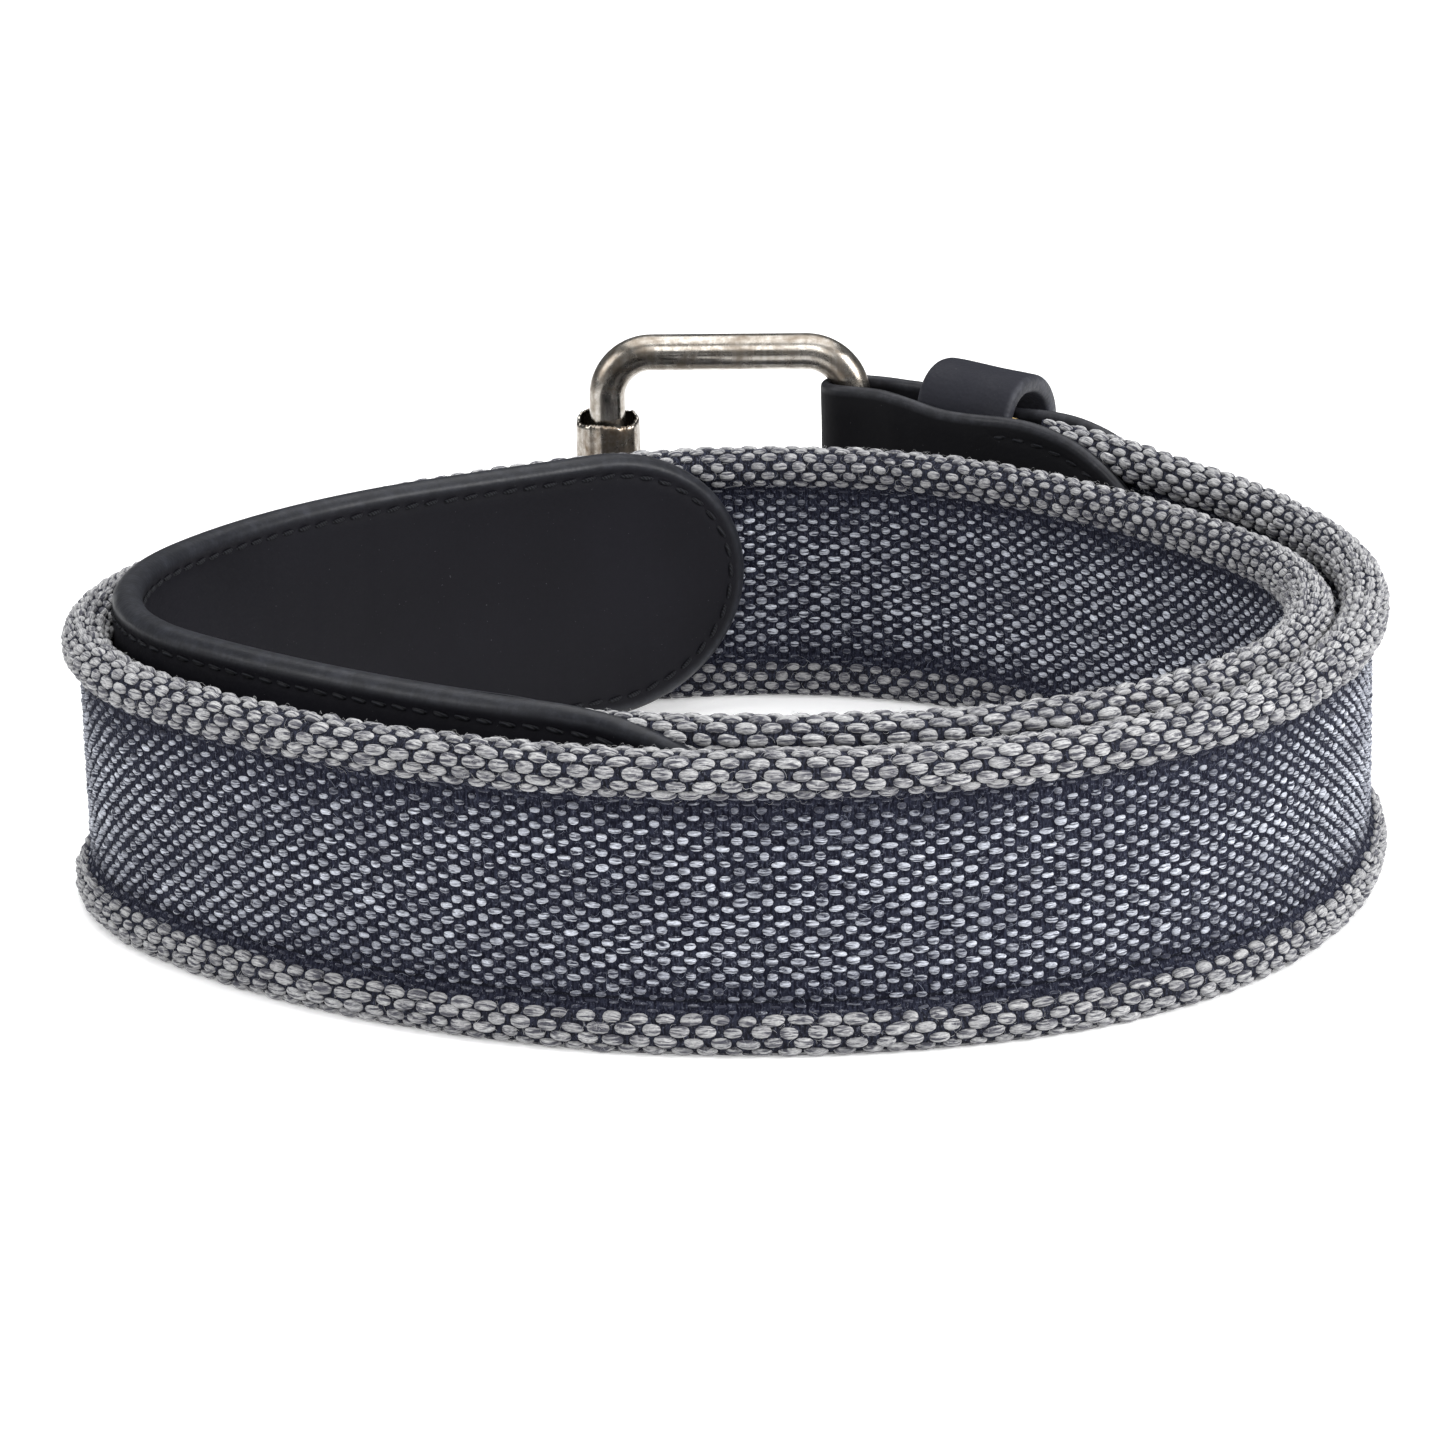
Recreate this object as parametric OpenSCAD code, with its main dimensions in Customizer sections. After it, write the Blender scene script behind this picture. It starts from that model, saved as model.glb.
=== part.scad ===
// Woven belt with leather ends and a roller buckle, standing coiled on its edge.
// The coil is drawn as one path seen from above: it starts at the buckle's hinge bar,
// runs clockwise round the coil almost twice and ends at the leather tip.
// +X is the coil's width, -Y its front, +Z its height above the floor.

/* [Webbing] */
// Height of the woven band, over both rolled edges
web_h = 38; // [34:1:40]
// Thickness of the flat woven panel
panel_t = 1.4; // [1:0.1:1.6]
// Diameter of a rolled edge
roll_d = 5.6; // [4.8:0.1:5.7]
// Thickness of the woven sleeve round a filler cord
sleeve_t = 0.8; // [0.5:0.1:1]

/* [Leather] */
// Height of both leather ends
leather_h = 40; // [38:1:40]
// Thickness of one layer of the tip
tip_layer_t = 1.3; // [1:0.1:1.4]
// Thickness of the tab's leather
tab_layer_t = 1.8; // [1.4:0.1:1.8]
// Diameter of a hole for the prong
hole_d = 5; // [4.4:0.2:6]
// Distance between holes
hole_pitch = 25; // [20:1:25]
// Distance of the first hole from the tip's end
first_hole = 90; // [70:1:90]

/* [Buckle] */
// Diameter of the frame's wire
wire_d = 5.5; // [5:0.1:5.6]
// Height of the frame, over its wire
frame_h = 53; // [52.5:0.5:54]
// Width of the frame, over its wire
frame_w = 43; // [42:1:47]
// Bend radius of the frame's corners, along the wire's middle
corner_r = 7; // [6:0.5:7.5]
// Outer diameter of the roller
roller_d = 10.3; // [9.8:0.1:10.6]
// Length of the roller
roller_l = 34; // [30:0.5:34.5]

/* [Keeper] */
// Width of the keeper along the belt
keeper_w = 15; // [12:1:16]
// Thickness of the keeper's leather
keeper_t = 2.6; // [2:0.1:2.6]
// Room under the keeper for the belt's tip
keeper_room = 6.4; // [5.8:0.1:7]

/* [Hidden] */
$fn = 48;

// The path: where the hinge bar stands, the way the tab leaves it, and then
// stretches of belt, each with its length and how far it bends to the right.
bar_at = [20.1, 80.3];
bar_heading = -26;
STRETCHES = [[20, 8], [50, 22], [50, 37], [50, 29], [50, 44], [60, 37], [60, 29],
             [60, 65], [50, 21.5], [50, 35], [50, 50.5], [50, 20], [60, 50], [60, 52],
             [60, 46], [50, 15], [50, 69.5], [50, 35], [50, 1.5]];

// How far the band is lifted off the floor, by distance along the path
LIFT = [[0, 6.7], [12, 6.7], [60, 2.5], [90, 0.9], [130, 0], [600, 0], [740, 2.6], [980, 2.6]];

// Distances along the path
belt_l = 980;
web_start = 32;
web_end = 785;
web_step = 10;
roll_start = 33;
roll_end = 748;
roll_taper = 10;
tab_pitch_from = 12;
tab_pitch = 5;
near_end = 60;
far_end = 60;
outer_start = 739;
inner_start = 745;
keeper_s = 19.3;
end_round = 33;
tip_round = 24;

// Small gaps between pieces that only touch, and between pieces that move
clear = 0.05;
loose = 0.3;

// Half of a gap or thickness, measured from the path
pressed_half = 0.35;
tip_gap = panel_t / 2 + clear;
bar_gap = wire_d / 2 + loose;
keeper_gap = keeper_t / 2 + loose;

// How far the keeper's wall between the tab's layers is set towards the inner layer
keeper_shift = 2.6;

// Cross-section of the webbing: points on a rolled edge, its open arc, and the panel's end in radii
arc_points = 8;
arc_span = 300;
panel_reach = 1.2;
thinnest_tunnel = 0.15;
cord_sides = 8;
cord_fill = 0.9;

// Stitches
edge_inset = 3;
stitch_pitch = 3.2;
stitch_turn = 10;
stitch_l = 2.3;
stitch_t = 0.5;
row_gap = 2;

// How finely curved leather is drawn along the path
strip_step = 3;
tab_step = 1.5;
cutter_turn = 7.5;
cutter_w = 28;
cutter_over = 6;

// Tab, keeper and staple
fold_overlap = 0.3;
prong_slot = 8;
slot_l = 24;
bend_step = 0.5;
keeper_in_h = leather_h + 2.4;
keeper_in_w = keeper_shift + loose + tab_layer_t + 0.2 + keeper_room;
keeper_n = keeper_t / 2 - keeper_shift + keeper_in_w / 2;
keeper_near_r = 3;
keeper_far_r = 4.3;
staple_l = 9;
staple_wire = 0.8;
staple_drop = 6;

// Buckle: the frame's heading from the hinge bar, then the roller and the prong
frame_heading = 175;
roller_x = frame_w - wire_d;
half_h = frame_h / 2 - wire_d / 2;
bar_h = 2 * (half_h - corner_r);
roller_wall = 0.4;
roller_foot = 6.6;
prong_r = 2.1;
prong_tip_r = 1.8;
prong_ring_h = 6;
prong_ring_wall = 2.2;
prong_root = 3.2;
prong_over = 3.5;
prong_fit = 0.06;

// From the path to the tab's outer and inner layer, by distance along the path: past the hinge bar,
// then past the keeper's wall, which lies inside the inner layer, and then past the rolled edges
roll_gap = roll_d / 2 + loose;
OUTER_GAP = [[0, bar_gap], [3, bar_gap], [13, keeper_gap], [29, keeper_gap], [42, roll_gap]];
INNER_GAP = [[0, bar_gap], [3, bar_gap], [11, keeper_gap + keeper_shift], [29, keeper_gap + keeper_shift],
             [42, roll_gap]];
// Radius of the rolled edges, which are pressed flat inside the leather
ROLL_R = [[web_start, pressed_half], [roll_start, pressed_half], [roll_start + roll_taper, roll_d / 2],
          [roll_end - roll_taper, roll_d / 2], [roll_end, pressed_half], [web_end, pressed_half]];
// Half of the panel's thickness, which is pressed inside the leather too
PANEL_HALF = [[web_start, pressed_half], [roll_start, pressed_half], [roll_start + roll_taper, panel_t / 2],
              [outer_start - 2 * roll_taper, panel_t / 2], [outer_start - roll_taper, pressed_half],
              [web_end, pressed_half]];

// ---- the path ----

function right_of(h) = [sin(h), -cos(h)];
function bend_radius(stretch) = stretch[0] * 180 / (PI * stretch[1]);
// Point after bending to the right by an angle round a radius
function bent(p, h, r, angle) = p + r * (right_of(h) - right_of(h - angle));

// Start of every stretch: distance, heading and point
JOINTS = [for (i = 0, s = 0, h = bar_heading, p = bar_at;
               i < len(STRETCHES);
               p = bent(p, h, bend_radius(STRETCHES[i]), STRETCHES[i][1]),
               h = h - STRETCHES[i][1],
               s = s + STRETCHES[i][0],
               i = i + 1) [s, h, p]];
function stretch_at(s, i = 0) = i + 1 < len(JOINTS) && JOINTS[i + 1][0] <= s ? stretch_at(s, i + 1) : i;
function turned(s) = let (i = stretch_at(s)) (s - JOINTS[i][0]) * STRETCHES[i][1] / STRETCHES[i][0];
function heading(s) = JOINTS[stretch_at(s)][1] - turned(s);
function middle(s) =
    let (i = stretch_at(s))
    bent(JOINTS[i][2], JOINTS[i][1], bend_radius(STRETCHES[i]), turned(s));
// Point beside the path, n to the left, which is the belt's outer side
function beside(s, n) = middle(s) - n * right_of(heading(s));
function lift(s) = lookup(s, LIFT);

tab_z = lift(0) + web_h / 2;
tip_z = lift(belt_l) + web_h / 2;
frame_z = frame_h / 2;

// Moves children to a point of the path, with +X ahead and +Y to the outer side
module along(s, n = 0, z = 0) {
    translate([beside(s, n)[0], beside(s, n)[1], z]) rotate([0, 0, heading(s)]) children();
}

// Tilts the rear of the tab down towards the floor
module pitched() {
    along(tab_pitch_from, 0, tab_z) rotate([0, tab_pitch, 0])
        rotate([0, 0, -heading(tab_pitch_from)])
            translate([-middle(tab_pitch_from)[0], -middle(tab_pitch_from)[1], -tab_z]) children();
}

// ---- strips of leather, drawn from above ----

function stations(s0, s1, step) = [for (i = [0 : ceil((s1 - s0) / step)]) min(s0 + i * step, s1)];

// Strip between two distances, with its faces at n0 and n1 beside the path
module strip(s0, s1, n0, n1) {
    st = stations(s0, s1, strip_step);
    last = len(st) - 1;
    polygon(concat([for (s = st) beside(s, n1)], [for (i = [0 : last]) beside(st[last - i], n0)]));
}

// Gap from the path to the tab's layer: side is 1 for the outer layer and -1 for the inner one
function tab_gap(s, side) = lookup(s, side > 0 ? OUTER_GAP : INNER_GAP);

// The tab's layer on one side
module tab_strip(s0, s1, side) {
    st = stations(s0, s1, tab_step);
    last = len(st) - 1;
    polygon(concat([for (s = st) beside(s, side * (tab_gap(s, side) + tab_layer_t))],
                   [for (i = [0 : last]) beside(st[last - i], side * tab_gap(st[last - i], side))]));
}

// Everything outside a long round end; facing is 1 when the belt ends ahead and -1 behind
module end_cutter(s, z, facing, round_l) {
    turn_by = facing > 0 ? 0 : 180;
    along(s, 0, z) rotate([90, 0, turn_by]) linear_extrude(height = cutter_w, center = true)
        difference() {
            translate([-round_l, -leather_h]) square([round_l + cutter_over, 2 * leather_h]);
            polygon([for (a = [0 : cutter_turn : 360 - cutter_turn])
                     [round_l * cos(a) - round_l, leather_h / 2 * sin(a)]]);
        }
}

// ---- swept solids ----

function loop_faces(rings, ring, loop) =
    [for (k = [0 : rings - 2]) for (i = [0 : len(loop) - 1])
        let (a = k * ring + loop[i], b = k * ring + loop[(i + 1) % len(loop)])
        for (f = [[a, b, b + ring], [a, b + ring, a + ring]]) f];
function reversed(list) = [for (i = [len(list) - 1 : -1 : 0]) list[i]];
function shifted(faces, by) = [for (f = faces) [for (i = f) i + by]];
function flipped(faces) = [for (f = faces) reversed(f)];
function span(from, count) = [for (i = [0 : count - 1]) from + i];

// Point of the cross-section at s: n beside the path and z above the floor
function section_point(s, n, z) = [beside(s, n)[0], beside(s, n)[1], z];
// Arc of a rolled edge that is open towards the panel; up is 1 for the upper edge
function roll_arc(s, r, z, up) =
    [for (i = [0 : arc_points - 1])
        let (a = arc_span / 2 - i * arc_span / (arc_points - 1))
        section_point(s, up * -r * sin(a), z + up * r * cos(a))];

// One ring of the webbing: lower roll, inner face, upper roll, outer face, then both cord tunnels
function web_ring(s) =
    let (r = lookup(s, ROLL_R),
         R = r / cos(arc_span / (arc_points - 1) / 2),
         tunnel = max(thinnest_tunnel, r - sleeve_t),
         low = lift(s) + r,
         high = lift(s) + web_h - r,
         half = lookup(s, PANEL_HALF))
    concat(roll_arc(s, R, low, -1),
           [section_point(s, -half, low + panel_reach * R), section_point(s, -half, high - panel_reach * R)],
           roll_arc(s, R, high, 1),
           [section_point(s, half, high - panel_reach * R), section_point(s, half, low + panel_reach * R)],
           roll_arc(s, tunnel, low, -1),
           roll_arc(s, tunnel, high, 1));

module webbing() {
    n = arc_points;
    st = stations(web_start, web_end, web_step);
    ring = 4 * n + 4;
    low = span(0, n);
    inner = span(n, 2);
    high = span(n + 2, n);
    outer = span(2 * n + 2, 2);
    low_tunnel = span(2 * n + 4, n);
    high_tunnel = span(3 * n + 4, n);
    outline = concat(low, inner, high, outer);
    cap = concat([for (i = [0 : n - 2]) [low[i], low[i + 1], low_tunnel[i + 1], low_tunnel[i]]],
                 [for (i = [0 : n - 2]) [high[i], high[i + 1], high_tunnel[i + 1], high_tunnel[i]]],
                 [concat([low[n - 1]], inner,
                         [high[0], high_tunnel[0], high_tunnel[n - 1], high[n - 1]], outer,
                         [low[0], low_tunnel[0], low_tunnel[n - 1]])]);
    color("lightsteelblue")
        polyhedron(points = [for (s = st) each web_ring(s)],
                   faces = concat(loop_faces(len(st), ring, reversed(outline)),
                                  loop_faces(len(st), ring, low_tunnel),
                                  loop_faces(len(st), ring, high_tunnel),
                                  cap,
                                  shifted(flipped(cap), (len(st) - 1) * ring)),
                   convexity = 12);
}

// A cord inside a rolled edge, its middle at a fixed height above the band's foot.
// Its rings stand where the webbing's do, so both turn by the same chords.
module filler_cord(height) {
    st = [for (s = stations(web_start, web_end, web_step))
          if (s >= roll_start + roll_taper && s <= roll_end - roll_taper) s];
    r = cord_fill * (roll_d / 2 - sleeve_t - clear);
    points = [for (s = st) for (i = [0 : cord_sides - 1])
              let (a = (i + 0.5) * 360 / cord_sides)
              section_point(s, r * sin(a), lift(s) + height + r * cos(a))];
    color("whitesmoke")
        polyhedron(points = points,
                   faces = concat(loop_faces(len(st), cord_sides, span(0, cord_sides)),
                                  [reversed(span(0, cord_sides))],
                                  [span((len(st) - 1) * cord_sides, cord_sides)]),
                   convexity = 8);
}
module upper_filler_cord() { filler_cord(web_h - roll_d / 2); }
module lower_filler_cord() { filler_cord(roll_d / 2); }

// ---- leather tip ----

module prong_holes() {
    for (i = [0 : 4])
        along(belt_l - first_hole - i * hole_pitch, 0, tip_z)
            rotate([90, 0, 0]) cylinder(d = hole_d, h = 12, center = true);
}

// One layer of the tip, from a distance along the path to the belt's end
module tip_layer(s0, n0, n1, start_round) {
    difference() {
        translate([0, 0, tip_z - leather_h / 2]) linear_extrude(height = leather_h) strip(s0, belt_l, n0, n1);
        end_cutter(belt_l, tip_z, 1, tip_round);
        if (start_round) end_cutter(s0, tip_z, -1, end_round);
        prong_holes();
    }
}
module tip_outer_leather() { color("#23252d") tip_layer(outer_start, tip_gap, tip_gap + tip_layer_t, true); }
module tip_inner_leather() {
    color("#2a2c35") tip_layer(inner_start, -tip_gap - tip_layer_t, -tip_gap, true);
}
module tip_core() { color("#6d5844") tip_layer(web_end + 1, clear - tip_gap, tip_gap - clear, false); }

// Distance beside the path at which a stitch lies on the leather, at the tab or at the tip
function thread_n(s, side) = clear + stitch_t / 2 + (s < web_start + far_end
    ? max(tab_gap(s - stitch_l / 2, side), tab_gap(s + stitch_l / 2, side)) + tab_layer_t
    : tip_gap + tip_layer_t);
// One stitch on the outer side (1) or the inner side (-1)
module stitch(s, side, z, slope) {
    along(s, side * thread_n(s, side), z) rotate([0, -slope, 0])
        cube([stitch_l, stitch_t, stitch_t], center = true);
}
module stitch_rows(s0, s1, side, z) {
    for (s = [s0 : stitch_pitch : s1]) for (edge = [-1, 1])
        stitch(s, side, z + edge * (leather_h / 2 - edge_inset), 0);
}
// Stitches round a long round end whose apex is at s
module stitch_end(s, side, z, facing, round_l) {
    a = round_l - edge_inset;
    b = leather_h / 2 - edge_inset;
    for (t = [-90 + stitch_turn : stitch_turn : 90 - stitch_turn])
        stitch(s - facing * (round_l - a * cos(t)), side, z + b * sin(t),
               -facing * atan2(b * cos(t), a * sin(t)));
}
module stitched_layer(s0, side) {
    stitch_rows(s0 + end_round + row_gap, belt_l - tip_round - row_gap, side, tip_z);
    stitch_end(s0, side, tip_z, -1, end_round);
    stitch_end(belt_l, side, tip_z, 1, tip_round);
}
module tip_stitching() {
    color("#15161b") {
        stitched_layer(outer_start, 1);
        stitched_layer(inner_start, -1);
    }
}

// ---- leather tab, folded round the hinge bar ----

// How far the frame's bend reaches from the bar's axis at a height past the bar's straight part
function bend_reach(z) = corner_r - sqrt(pow(corner_r - wire_d / 2, 2) - z * z) + loose;
// Room for the frame's bends where the bar leaves the fold, above (1) or below (-1)
module bend_room(side) {
    last = corner_r - wire_d / 2 - bend_step / 2;
    profile = [for (z = [0 : bend_step : last]) [bend_reach(z), z]];
    translate([bar_at[0], bar_at[1], frame_z]) rotate([side > 0 ? 0 : 180, 0, 0])
        translate([0, 0, bar_h / 2]) rotate_extrude()
            polygon(concat([[0, -clear]], [[bend_reach(0), -clear]], profile,
                           [[bend_reach(last), leather_h], [0, leather_h]]));
}
module tab_fold() {
    difference() {
        translate([0, 0, tab_z - leather_h / 2]) linear_extrude(height = leather_h) {
            difference() {
                translate(bar_at) circle(r = bar_gap + tab_layer_t);
                translate(bar_at) circle(r = bar_gap);
                translate(bar_at) rotate(bar_heading)
                    translate([fold_overlap, -slot_l]) square(2 * slot_l);
            }
            tab_strip(0, tab_pitch_from + 1, 1);
            tab_strip(0, tab_pitch_from + 1, -1);
        }
        bend_room(1);
        bend_room(-1);
        // Slot that the prong turns in
        translate([bar_at[0], bar_at[1], frame_z]) rotate([0, 0, bar_heading])
            translate([-slot_l / 2, -slot_l / 2, -prong_slot / 2]) cube([slot_l, slot_l, prong_slot]);
    }
}

module tab_layer(side, s1) {
    pitched() difference() {
        translate([0, 0, tab_z - leather_h / 2]) linear_extrude(height = leather_h)
            tab_strip(tab_pitch_from - 1.5, s1, side);
        end_cutter(s1, tab_z, 1, end_round);
    }
}
module tab_leather() {
    color("#262832") union() {
        tab_fold();
        tab_layer(1, far_end);
        tab_layer(-1, near_end);
    }
}
module tab_stitching() {
    color("#15161b") pitched() {
        stitch_end(far_end, 1, tab_z, 1, end_round);
        stitch_end(near_end, -1, tab_z, 1, end_round);
    }
}

// ---- keeper ----

// Outline with small corners next to the tab, at -X, and large ones away from it
module keeper_outline(w, h, near_r, far_r) {
    for (end = [[-1, near_r], [1, far_r]]) {
        translate([end[0] < 0 ? -w / 2 : w / 2 - far_r, end[1] - h / 2]) square([end[1], h - 2 * end[1]]);
        for (y = [-1, 1]) translate([end[0] * (w / 2 - end[1]), y * (h / 2 - end[1])]) circle(end[1]);
    }
    translate([near_r - w / 2, -h / 2]) square([w - near_r - far_r, h]);
}

module keeper_loop() {
    color("#2b2d38") pitched() along(keeper_s, keeper_n, tab_z)
        rotate([90, 0, 90]) linear_extrude(height = keeper_w, center = true) difference() {
            keeper_outline(keeper_in_w + 2 * keeper_t, keeper_in_h + 2 * keeper_t,
                           keeper_t + keeper_near_r, keeper_t + keeper_far_r);
            keeper_outline(keeper_in_w, keeper_in_h, keeper_near_r, keeper_far_r);
        }
}
module keeper_staple() {
    s = keeper_s + keeper_w / 2 + 2 * staple_wire;
    color("goldenrod") pitched() along(s, -keeper_shift, tab_z + leather_h / 2 - staple_drop) {
        cylinder(d = staple_wire, h = staple_l, center = true);
        for (z = [-1, 1]) translate([0, 0, z * staple_l / 2]) rotate([0, -90, 0])
            cylinder(d = staple_wire, h = staple_wire);
    }
}

// ---- buckle ----

// The buckle's own axes: the hinge bar at the origin and +X across the frame to the roller
module at_buckle() { translate([bar_at[0], bar_at[1], frame_z]) rotate([0, 0, frame_heading]) children(); }

module buckle_frame() {
    rail_w = roller_x - 2 * corner_r;
    color("#8f8676") at_buckle() {
        for (x = [0, roller_x]) translate([x, 0, 0]) cylinder(d = wire_d, h = bar_h, center = true);
        for (side = [-1, 1]) {
            translate([corner_r, 0, side * half_h]) rotate([0, 90, 0]) cylinder(d = wire_d, h = rail_w);
            translate([corner_r, 0, side * bar_h / 2]) rotate([90, 0, 0])
                rotate([0, 0, side > 0 ? 90 : 180]) rotate_extrude(angle = 90)
                    translate([corner_r, 0]) circle(d = wire_d);
            translate([roller_x - corner_r, 0, side * bar_h / 2]) rotate([90, 0, 0])
                rotate([0, 0, side > 0 ? 0 : -90]) rotate_extrude(angle = 90)
                    translate([corner_r, 0]) circle(d = wire_d);
        }
    }
}
module buckle_roller() {
    color("#8a7f6b") at_buckle() translate([roller_x, 0, roller_foot - frame_z]) difference() {
        cylinder(d = roller_d, h = roller_l);
        translate([0, 0, -1]) cylinder(d = roller_d - 2 * roller_wall, h = roller_l + 2);
    }
}
module buckle_prong() {
    reach = roller_x + prong_over;
    beside_roller = roller_d / 2 + prong_tip_r + loose;
    tip_y = -(prong_root + (beside_roller + loose - prong_root) * reach / roller_x);
    shank = [reach, tip_y + prong_root];
    color("#7d7365") at_buckle() difference() {
        union() {
            cylinder(d = wire_d + 2 * prong_ring_wall, h = prong_ring_h, center = true);
            translate([0, -prong_root, 0]) rotate([0, 0, atan2(shank[1], shank[0])]) rotate([0, 90, 0]) {
                cylinder(r1 = prong_r, r2 = prong_tip_r, h = norm(shank));
                translate([0, 0, norm(shank)]) sphere(r = prong_tip_r);
            }
        }
        cylinder(r = wire_d / 2 + prong_fit, h = prong_ring_h + 2, center = true);
    }
}

webbing();
upper_filler_cord();
lower_filler_cord();
tip_outer_leather();
tip_inner_leather();
tip_core();
tip_stitching();
tab_leather();
tab_stitching();
keeper_loop();
keeper_staple();
buckle_frame();
buckle_roller();
buckle_prong();
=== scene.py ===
"""The looks of a woven belt with leather ends, coiled on its edge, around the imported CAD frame."""

from math import pi, radians

import bmesh
import bpy
import numpy as np
from mathutils import Matrix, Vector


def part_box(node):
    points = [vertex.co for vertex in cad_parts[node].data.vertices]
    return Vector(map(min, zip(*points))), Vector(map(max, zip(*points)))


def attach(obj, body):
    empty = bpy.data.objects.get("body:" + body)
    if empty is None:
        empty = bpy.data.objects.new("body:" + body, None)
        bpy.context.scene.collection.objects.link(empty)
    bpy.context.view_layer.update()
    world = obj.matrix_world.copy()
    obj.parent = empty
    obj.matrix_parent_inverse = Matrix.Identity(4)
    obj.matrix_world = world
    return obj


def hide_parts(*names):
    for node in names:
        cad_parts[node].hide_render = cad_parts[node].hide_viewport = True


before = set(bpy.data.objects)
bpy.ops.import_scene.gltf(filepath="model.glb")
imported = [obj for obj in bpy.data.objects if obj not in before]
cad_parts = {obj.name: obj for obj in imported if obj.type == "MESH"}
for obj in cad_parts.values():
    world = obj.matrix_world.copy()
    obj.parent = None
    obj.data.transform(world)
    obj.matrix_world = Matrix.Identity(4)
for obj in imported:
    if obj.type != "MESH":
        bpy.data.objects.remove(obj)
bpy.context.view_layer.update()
rng = np.random.default_rng(7)
MM = 0.001

# ---- the belt's path, as in the CAD model: from the hinge bar, clockwise seen from above ----

BAR_AT = (20.1, 80.3)
BAR_HEADING = -26
# Stretches of belt: length in mm, and how far each bends to the right in degrees
STRETCHES = [(20, 8), (50, 22), (50, 37), (50, 29), (50, 44), (60, 37), (60, 29),
             (60, 65), (50, 21.5), (50, 35), (50, 50.5), (50, 20), (60, 50), (60, 52),
             (60, 46), (50, 15), (50, 69.5), (50, 35), (50, 1.5)]
# How far the band is lifted off the floor, by distance along the path, all in mm
LIFT = [(0, 6.7), (12, 6.7), (60, 2.5), (90, 0.9), (130, 0), (600, 0), (740, 2.6), (980, 2.6)]

# Sizes in mm, as in the CAD model: the webbing, and where the leather ends press it thin
BELT_L = 980
WEB_H = 38
WEB_START, WEB_END = 33, 783
ROLL_R = 2.8
PANEL_HALF = 0.7
FILLET_R = 1.6
TAB_PRESS = (31, 40)
TIP_PRESS = (744, 768)
PRESSED_SHARE = 0.2

# Both leather ends, and gaps between pieces that only touch and between pieces that move
LEATHER_H = 40
LONG_ROUND, TIP_ROUND = 33, 24
CLEAR, LOOSE = 0.05, 0.3

# The tip: its layers come off the webbing and down onto the core between two distances
TIP_HALF = 2.05
TIP_LAYER = 1.3
OUTER_START, INNER_START = 739, 745
OFF_CLOTH = (752, 786)
HOLES = [890 - 25 * i for i in range(5)]
HOLE_R = 2.5
PUNCH_L = 12

# The tab, its slot for the prong, and the gap it leaves round the hinge bar and over the rolls
TAB_T = 1.8
NEAR_END, FAR_END = 60, 60
TAB_PITCH, TAB_PITCH_FROM = 5, 12
BAR_GAP = 3.05
ROLL_GAP = 3.1
SLOT_HALF_L, SLOT_HALF_H = 10, 4
FRAME_Z = 26.5
# Distance along the tab's mid-surface from its far end to the middle of the fold
FOLD_Q = FAR_END + pi * (BAR_GAP + TAB_T / 2) / 2

KEEPER_S, KEEPER_W, KEEPER_T, KEEPER_ROOM, KEEPER_SHIFT = 19.3, 15, 2.6, 6.4, 2.6
KEEPER_SEAM = 0.2
KEEPER_OVER = 1.2
KEEPER_NEAR_R, KEEPER_FAR_R = 4.2, 6.6

STITCH_INSET, STITCH_PITCH, STITCH_L, STITCH_R = 3, 3.2, 2.5, 0.3


def right_of(h):
    """Unit vectors to the right of headings in radians."""
    return np.stack([np.sin(h), -np.cos(h)], axis=-1)


def joints():
    """Start of every stretch: distance, heading, x, y and radius."""
    rows, s, h, p = [], 0.0, radians(BAR_HEADING), np.array(BAR_AT, float)
    for length, bend in STRETCHES:
        radius = length / radians(bend)
        rows.append((s, h, p[0], p[1], radius))
        p = p + radius * (right_of(h) - right_of(h - radians(bend)))
        s, h = s + length, h - radians(bend)
    return np.array(rows)


JOINTS = joints()


def stretch_of(s):
    """The stretch that each distance falls in."""
    return JOINTS[np.clip(np.searchsorted(JOINTS[:, 0], s, "right") - 1, 0, len(JOINTS) - 1)]


def heading(s):
    """The path's heading in radians at distance s."""
    row = stretch_of(s)
    return row[..., 1] - (s - row[..., 0]) / row[..., 4]


def spot(s, n, z):
    """Points in mm at distance s along the path, n beside it on the outer side, z above the floor."""
    s, n, z = np.broadcast_arrays(*(np.asarray(a, float) for a in (s, n, z)))
    row = stretch_of(s)
    turned = right_of(heading(s))
    middle = row[..., 2:4] + row[..., 4:5] * (right_of(row[..., 1]) - turned)
    return np.concatenate([middle - n[..., None] * turned, z[..., None]], axis=-1)


def table(pairs, s):
    """Value at s in a list of (distance, value) pairs."""
    a = np.array(pairs, float)
    return np.interp(s, a[:, 0], a[:, 1])


def lift(s):
    return table(LIFT, s)


def smooth(a, b, x):
    """0 at a, easing to 1 at b."""
    t = np.clip((np.asarray(x, float) - a) / (b - a), 0, 1)
    return t * t * (3 - 2 * t)


def lengths_along(path):
    """Distances along a line of points, from its first point."""
    return np.concatenate([[0], np.cumsum(np.linalg.norm(np.diff(path, axis=0), axis=1))])


def points_along(path, at):
    """Points at distances along a line of points."""
    along = lengths_along(path)
    return np.stack([np.interp(at, along, path[:, k]) for k in (0, 1)], axis=1)


TAB_Z = float(lift(0)) + WEB_H / 2
TIP_Z = float(lift(BELT_L)) + WEB_H / 2

# ---- meshes ----


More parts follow.
